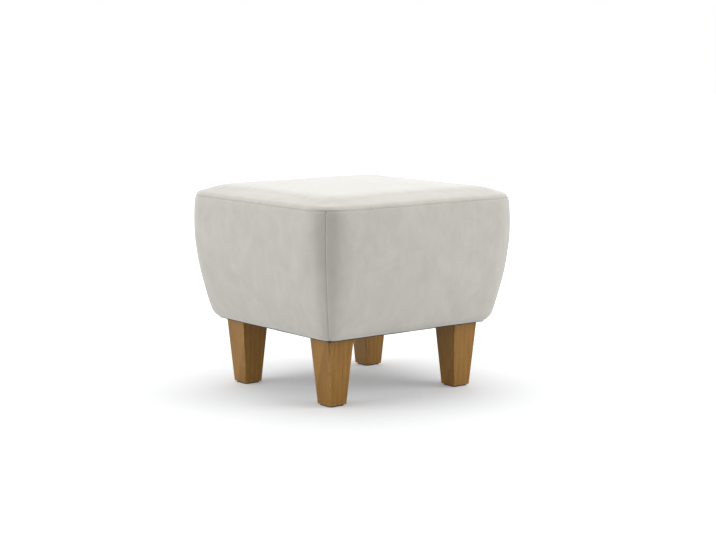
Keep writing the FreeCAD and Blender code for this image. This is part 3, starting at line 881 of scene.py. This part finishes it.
def shrunk_copy(node, inset, flatten=False):
    """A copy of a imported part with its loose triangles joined, moved in all round."""
    bm = bmesh.new()
    bm.from_mesh(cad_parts[node].data)
    bmesh.ops.remove_doubles(bm, verts=bm.verts, dist=1e-5)
    if flatten:
        bmesh.ops.dissolve_limit(bm, angle_limit=FLAT_ANGLE, verts=bm.verts, edges=bm.edges)
    bm.normal_update()
    moves = {vert: vert.normal * inset for vert in bm.verts}
    for vert, move in moves.items():
        vert.co -= move
    return bm


def foam_pad(node, shape):
    """A foam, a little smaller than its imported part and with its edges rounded."""
    bm = shrunk_copy(node, shape.pad_clearance, flatten=True)
    low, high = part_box(node)
    half = shape.pad_clearance / 2
    for vert in bm.verts:
        vert.co.z = between(low.z + half, high.z - half, vert.co.z)
    sharp = [edge for edge in bm.edges if edge.is_manifold and edge.calc_face_angle() > SHARP_ANGLE]
    bmesh.ops.bevel(bm, geom=sharp, offset=PAD_ROUNDING, segments=3, profile=0.5, affect="EDGES",
                    material=-1)
    return bm


def wadding_sheet(node, shape):
    """The wadding, drawn in from the cover and lowered on to the foam."""
    half = shape.pad_clearance / 2
    bm = shrunk_copy(node, half)
    bmesh.ops.scale(bm, vec=(1 - half / CAD_HIGH.x, 1 - half / CAD_HIGH.y, 1.0), verts=bm.verts)
    bmesh.ops.translate(bm, vec=(0, 0, -half), verts=bm.verts)
    return bm


class FOOTSTOOL_OT_padding(Operator):
    """Lay the seat foam, the four side foams and the wadding under the cover"""

    bl_idname = "footstool.padding"
    bl_label = "Foam and Wadding"

    def execute(self, context):
        shape = context.scene.footstool_shape
        finish = context.scene.footstool_finish
        foam = FINISHES.get(
            "Foam", speckled, surface={"Roughness": 0.95, "Specular IOR Level": 0.1}, first=finish.foam,
            second=toned(finish.foam, 0.72), scale=900.0, share=0.55, bump=(0.6, 0.0006),
        )
        fibre = FINISHES.get(
            "Wadding", speckled, surface={"Roughness": 1.0, "Sheen Weight": 0.5}, first=finish.wadding,
            second=toned(finish.wadding, 0.9), scale=240.0, share=0.5, bump=(0.7, 0.001),
        )
        for node in ["seat_foam"] + ["side_foam_" + side for side in SIDES]:
            pad = new_piece(node + "_pad", foam_pad(node, shape), foam, node)
        layer = new_piece("wadding_layer", wadding_sheet("wadding", shape), fibre, "wadding")
        return {"FINISHED"}


# Legs

# A face's least area to count as broad, and most to be shaded round, in square metres.
BROAD_FACE = 0.001
NARROW_FACE = 0.0004
LEG_EASING = 0.0013
WEAR_MARGIN = 0.002


def tapered_leg(low, high, shape):
    """A square leg, narrower at the foot, with its long edges and foot eased and marked for wear."""
    bm = bmesh.new()
    bmesh.ops.create_cube(bm, size=1.0)
    middle = (low + high) / 2
    for vert in bm.verts:
        width, z = (high.x - low.x, high.z) if vert.co.z > 0 else (shape.foot_width, low.z)
        vert.co = Vector((middle.x + vert.co.x * width, middle.y + vert.co.y * width, z))
    wear = bm.verts.layers.float.new("edge_wear")
    half_height = (high.z - low.z) / 2
    upright = [edge for edge in bm.edges if abs(edge.verts[0].co.z - edge.verts[1].co.z) > half_height]
    around = [edge for edge in bm.edges if edge not in upright and edge.verts[0].co.z < middle.z]
    made = bmesh.ops.bevel(bm, geom=upright + around, offset=LEG_EASING, segments=3, profile=0.5,
                           affect="EDGES", material=-1)
    for vert in made["verts"]:
        vert[wear] = 1.0
    broad = [face for face in bm.faces if face.calc_area() > BROAD_FACE]
    bmesh.ops.inset_individual(bm, faces=broad, thickness=WEAR_MARGIN, use_even_offset=True)
    for vert in {vert for face in broad for vert in face.verts}:
        vert[wear] = 0.0
    return bm


class FOOTSTOOL_OT_legs(Operator):
    """Shape and stain the four tapered legs, and finish their glides"""

    bl_idname = "footstool.legs"
    bl_label = "Legs and Glides"

    def execute(self, context):
        shape = context.scene.footstool_shape
        finish = context.scene.footstool_finish
        stain = FINISHES.get("Stained_Wood", stained_wood, light=finish.stain_light,
                             dark=finish.stain_dark, worn=finish.stain_worn)
        plastic = FINISHES.get(
            "Glide_Plastic", speckled, surface={"Roughness": 0.55}, first=finish.glide,
            second=toned(finish.glide, 1.6), scale=1500.0, share=0.5, bump=(0.15, 0.0002),
        )
        for corner in CORNERS:
            node = "leg_" + corner
            leg = new_piece("wooden_" + node, tapered_leg(*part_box(node), shape), stain, node)
            for face in leg.data.polygons:
                face.use_smooth = face.area < NARROW_FACE
            dress("glide_" + corner, plastic)
        return {"FINISHED"}


# Underside

DUST_CLOTH_CELLS = (48, 44)
DUST_CLOTH_SAG = 0.0006
DUST_CLOTH_THICKNESS = 0.0004
DUST_CLOTH_UNEVENNESS = 0.0003
DUST_CLOTH_WAVES = 3
BOLT_REACH = 0.0045


class FOOTSTOOL_OT_underside(Operator):
    """Stretch the dust cloth under the frame"""

    bl_idname = "footstool.underside"
    bl_label = "Dust Cloth"

    def execute(self, context):
        finish = context.scene.footstool_finish
        cloth = FINISHES.get(
            "Dust_Cloth", woven, surface={"Roughness": 0.95, "Specular IOR Level": 0.2},
            tone=finish.dust_cloth, threads=260.0, bump=(0.5, 0.0004),
        )
        low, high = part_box("dust_cover")
        size = high - low
        bm = bmesh.new()
        bmesh.ops.create_grid(bm, x_segments=DUST_CLOTH_CELLS[0], y_segments=DUST_CLOTH_CELLS[1], size=1.0)
        for vert in bm.verts:
            x, y, _ = vert.co
            drop = DUST_CLOTH_SAG * (1 - x ** 2) * (1 - y ** 2)
            wave = noise.noise(Vector((x * DUST_CLOTH_WAVES, y * DUST_CLOTH_WAVES, 4)))
            drop += DUST_CLOTH_UNEVENNESS * wave
            z = high.z - DUST_CLOTH_THICKNESS - max(0.0, drop)
            vert.co = Vector((x * size.x / 2, y * size.y / 2, z))
        boxes = [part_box("leg_" + corner) for corner in CORNERS]
        bolts = [(box[0] + box[1]) / 2 for box in boxes]
        pierced = [face for face in bm.faces if self.holds_bolt(face, bolts)]
        bmesh.ops.delete(bm, geom=pierced, context="FACES")
        bmesh.ops.reverse_faces(bm, faces=bm.faces)
        sheet = new_piece("dust_cloth", bm, cloth, "dust_cover")
        thickened(sheet, DUST_CLOTH_THICKNESS)
        return {"FINISHED"}

    def holds_bolt(self, face, bolts):
        """Whether a leg's bolt passes through a face."""
        middle = face.calc_center_median()
        return any(abs(middle.x - bolt.x) < BOLT_REACH and abs(middle.y - bolt.y) < BOLT_REACH
                   for bolt in bolts)


# Webbing

STRAP_CELLS = (74, 6)
STRAP_SPACING = 0.110
STRAP_THICKNESS = 0.0013
STRAP_LIFT = 0.0016
STRAP_CLEARANCE = 0.0001
STRAP_CROWN = 0.0001
CROSSING_REACH = 0.046
CROSSING_SLOPE = 0.018


class FOOTSTOOL_OT_webbing(Operator):
    """Weave the seat's straps over and under each other"""

    bl_idname = "footstool.webbing"
    bl_label = "Webbing"

    def execute(self, context):
        finish = context.scene.footstool_finish
        cloth = FINISHES.get("Webbing", woven, surface={"Roughness": 0.9}, tone=finish.webbing,
                             threads=120.0, bump=(0.7, 0.0008))
        for way in STRAP_WAYS:
            for index in range(STRAPS_EACH_WAY):
                self.strap(way, index, cloth)
        return {"FINISHED"}

    def strap(self, way, index, material):
        """One strap, raised where it crosses over another."""
        name = "%s_%d" % (way, index + 1)
        low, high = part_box("strap_" + name)
        middle = (low + high) / 2
        across = way == "across"
        half = (high.x - low.x if across else high.y - low.y) / 2
        width = high.y - low.y if across else high.x - low.x
        bm = bmesh.new()
        bmesh.ops.create_grid(bm, x_segments=STRAP_CELLS[0], y_segments=STRAP_CELLS[1], size=1.0)
        for vert in bm.verts:
            along = vert.co.x * half
            side = vert.co.y * width / 2
            height = low.z + STRAP_CLEARANCE
            for order in range(STRAPS_EACH_WAY):
                crossing = STRAP_SPACING * (order - (STRAPS_EACH_WAY - 1) / 2)
                if (index + order) % 2 == (0 if across else 1):
                    near = (CROSSING_REACH - abs(along - crossing)) / CROSSING_SLOPE
                    height += STRAP_LIFT * eased(near)
            height += STRAP_THICKNESS + STRAP_CROWN * (1 - vert.co.y ** 2)
            x, y = (along, middle.y + side) if across else (middle.x - side, along)
            vert.co = Vector((x, y, height))
        strap = new_piece("web_" + name, bm, material, "strap_" + name)
        thickened(strap, STRAP_THICKNESS)


# Frame and fixings


class FOOTSTOOL_OT_frame(Operator):
    """Finish the timber frame, its boards and the metal fixings"""

    bl_idname = "footstool.frame"
    bl_label = "Frame and Fixings"

    def execute(self, context):
        finish = context.scene.footstool_finish
        self.dress_wood(finish)
        self.dress_metal()
        return {"FINISHED"}

    def dress_wood(self, finish):
        """Rails, posts, ribs, corner blocks and side panels, the rails and posts with their grain along."""
        quarter = math.pi / 2
        tones = {"light": finish.timber_light, "dark": finish.timber_dark}
        turns = {"X": (0, quarter, 0), "Y": (quarter, 0, 0), "Z": (0, 0, 0)}
        timber = {way: FINISHES.get("Timber_" + way, sawn_timber, rotation=turn, ring_scale=34.0, **tones)
                  for way, turn in turns.items()}
        plywood = FINISHES.get("Plywood", sawn_timber, rotation=turns["Y"], ring_scale=90.0, **tones)
        board = FINISHES.get(
            "Hardboard", speckled, surface={"Roughness": 0.7}, first=(0.20, 0.11, 0.055),
            second=(0.13, 0.07, 0.035), scale=1100.0, share=0.6, bump=(0.3, 0.0003),
        )
        for side in SIDES:
            way = "X" if side in SIDES_ALONG_X else "Y"
            dress("base_rail_" + side, timber[way])
            dress("top_rail_" + side, timber[way])
            dress("rib_" + side, plywood)
            dress("side_panel_" + side, board)
        for corner in CORNERS:
            dress("post_" + corner, timber["Z"])
            dress("corner_block_" + corner, plywood)

    def dress_metal(self):
        """Bolts, tee nuts and staples."""
        zinc = FINISHES.get(
            "Zinc_Plate", speckled, surface={"Metallic": 1.0, "Roughness": 0.34}, first=(0.62, 0.63, 0.64),
            second=(0.50, 0.50, 0.48), scale=700.0, share=0.5, bump=(0.12, 0.0002),
        )
        wire = FINISHES.get(
            "Staple_Wire", speckled, surface={"Metallic": 1.0, "Roughness": 0.42}, first=(0.55, 0.55, 0.55),
            second=(0.40, 0.40, 0.40), scale=1200.0, share=0.5, bump=(0.1, 0.0001),
        )
        for node in ("hanger_bolts", "tee_nuts"):
            dress(node, zinc)
        for node in ("webbing_staples", "dust_cover_staples"):
            dress(node, wire)


# Stage

# Each lamp's place and width.
LAMPS = {
    "Overhead": ((0.45, 0.65, 2.5), 2.6),
    "Left": ((-2.6, 0.9, 1.3), 2.2),
    "Right": ((1.9, -2.2, 1.3), 2.2),
}
LIT_POINT = (0.0, 0.0, 0.22)
WHITE = (1, 1, 1, 1)


def aim(place, target):
    """A matrix that stands at a place and looks at a target."""
    look = (Vector(target) - Vector(place)).to_track_quat("-Z", "Y").to_matrix().to_4x4()
    return Matrix.Translation(place) @ look


def add_lamp(name, place, size, power):
    """A square soft lamp, turned to the stool."""
    lamp = bpy.data.lights.new(name, "AREA")
    lamp.shape = "SQUARE"
    lamp.size = size
    lamp.energy = power
    holder = bpy.data.objects.new(name, lamp)
    holder.matrix_world = aim(place, LIT_POINT)
    bpy.context.scene.collection.objects.link(holder)


def seen_rays(board):
    """1 for rays from the camera, from gloss and through glass."""
    path = board.add("LightPath").outputs
    seen = board.math("MAXIMUM", path["Is Camera Ray"], path["Is Glossy Ray"])
    return board.math("MAXIMUM", seen, path["Is Transmission Ray"])


class FOOTSTOOL_OT_stage(Operator):
    """Set the camera, the lamps, the white floor and the sky"""

    bl_idname = "footstool.stage"
    bl_label = "Camera, Lamps and Floor"

    def execute(self, context):
        stage = context.scene.footstool_stage
        self.camera(context.scene, stage)
        for name, (place, size) in LAMPS.items():
            add_lamp(name, place, size, getattr(stage, name.lower() + "_power"))
        self.floor(stage)
        self.sky(context.scene, stage)
        context.scene.view_settings.view_transform = "Standard"
        return {"FINISHED"}

    def camera(self, scene, stage):
        camera = bpy.data.cameras.new("Camera")
        camera.sensor_width = 36.0
        camera.lens = stage.focal_length
        camera.clip_end = 100.0
        away = Vector((
            math.sin(stage.azimuth) * math.cos(stage.elevation),
            -math.cos(stage.azimuth) * math.cos(stage.elevation),
            math.sin(stage.elevation),
        ))
        holder = bpy.data.objects.new("Camera", camera)
        target = Vector(stage.target)
        holder.matrix_world = aim(target + away * stage.distance, target)
        scene.collection.objects.link(holder)
        scene.camera = holder

    def floor(self, stage):
        bm = bmesh.new()
        bmesh.ops.create_grid(bm, x_segments=1, y_segments=1, size=stage.floor_size / 2)
        floor = placed("floor", bm)
        floor.data.materials.append(self.floor_paint(stage))

    def floor_paint(self, stage):
        """Pale paint that turns to plain white away from the stool, and keeps its shadow."""
        surface = {"Base Color": opaque(stage.floor_colour), "Roughness": 0.9, "Specular IOR Level": 0.0}
        material, board, shader = new_material("White_Floor", surface)
        place = board.add("TexCoord").outputs["Object"]
        away = board.add("VectorMath", {"operation": "LENGTH"})
        board.join(place, away.inputs[0])
        fade = board.spread(away.outputs["Value"], 0.45, 1.5, 0.17, 1.0)
        glow = board.add("Emission", Color=WHITE)
        board.join(board.times(fade, seen_rays(board)), glow.inputs["Strength"])
        both = board.add("AddShader")
        board.join(shader.outputs[0], both.inputs[0])
        board.join(glow.outputs[0], both.inputs[1])
        board.join(both.outputs[0], material.node_tree.nodes["Material Output"].inputs["Surface"])
        return material

    def sky(self, scene, stage):
        world = bpy.data.worlds.new("Studio")
        world.use_nodes = True
        board = NodeBoard(world.node_tree)
        light = world.node_tree.nodes["Background"]
        light.inputs["Strength"].default_value = stage.sky
        light.inputs["Color"].default_value = WHITE
        white = board.add("Background", Color=WHITE, Strength=1.0)
        mix = board.add("MixShader")
        board.join(seen_rays(board), mix.inputs[0])
        board.join(light.outputs[0], mix.inputs[1])
        board.join(white.outputs[0], mix.inputs[2])
        board.join(mix.outputs[0], world.node_tree.nodes["World Output"].inputs["Surface"])
        scene.world = world


# Sidebar and registration

STEPS = (
    FOOTSTOOL_OT_stage,
    FOOTSTOOL_OT_cover,
    FOOTSTOOL_OT_padding,
    FOOTSTOOL_OT_legs,
    FOOTSTOOL_OT_underside,
    FOOTSTOOL_OT_webbing,
    FOOTSTOOL_OT_frame,
)
GROUPS = {
    "footstool_shape": FootstoolShape,
    "footstool_finish": FootstoolFinish,
    "footstool_stage": FootstoolStage,
}


class FOOTSTOOL_PT_build(Panel):
    """The steps that build the footstool, and its sizes and colours"""

    bl_label = "Footstool"
    bl_idname = "FOOTSTOOL_PT_build"
    bl_space_type = "VIEW_3D"
    bl_region_type = "UI"
    bl_category = "Footstool"

    def draw(self, context):
        layout = self.layout
        for step in STEPS:
            layout.operator(step.bl_idname)
        for name in GROUPS:
            group = getattr(context.scene, name)
            box = layout.box()
            for key in group.__annotations__:
                box.prop(group, key)


def register():
    for group in GROUPS.values():
        bpy.utils.register_class(group)
    for name, group in GROUPS.items():
        setattr(bpy.types.Scene, name, PointerProperty(type=group))
    for step in STEPS:
        bpy.utils.register_class(step)
    bpy.utils.register_class(FOOTSTOOL_PT_build)


def unregister():
    bpy.utils.unregister_class(FOOTSTOOL_PT_build)
    for step in reversed(STEPS):
        bpy.utils.unregister_class(step)
    for name in GROUPS:
        delattr(bpy.types.Scene, name)
    for group in GROUPS.values():
        bpy.utils.unregister_class(group)


def main():
    register()
    bpy.ops.footstool.stage()
    bpy.ops.footstool.cover()
    bpy.ops.footstool.padding()
    bpy.ops.footstool.legs()
    bpy.ops.footstool.underside()
    bpy.ops.footstool.webbing()
    bpy.ops.footstool.frame()


if __name__ == "__main__":
    main()
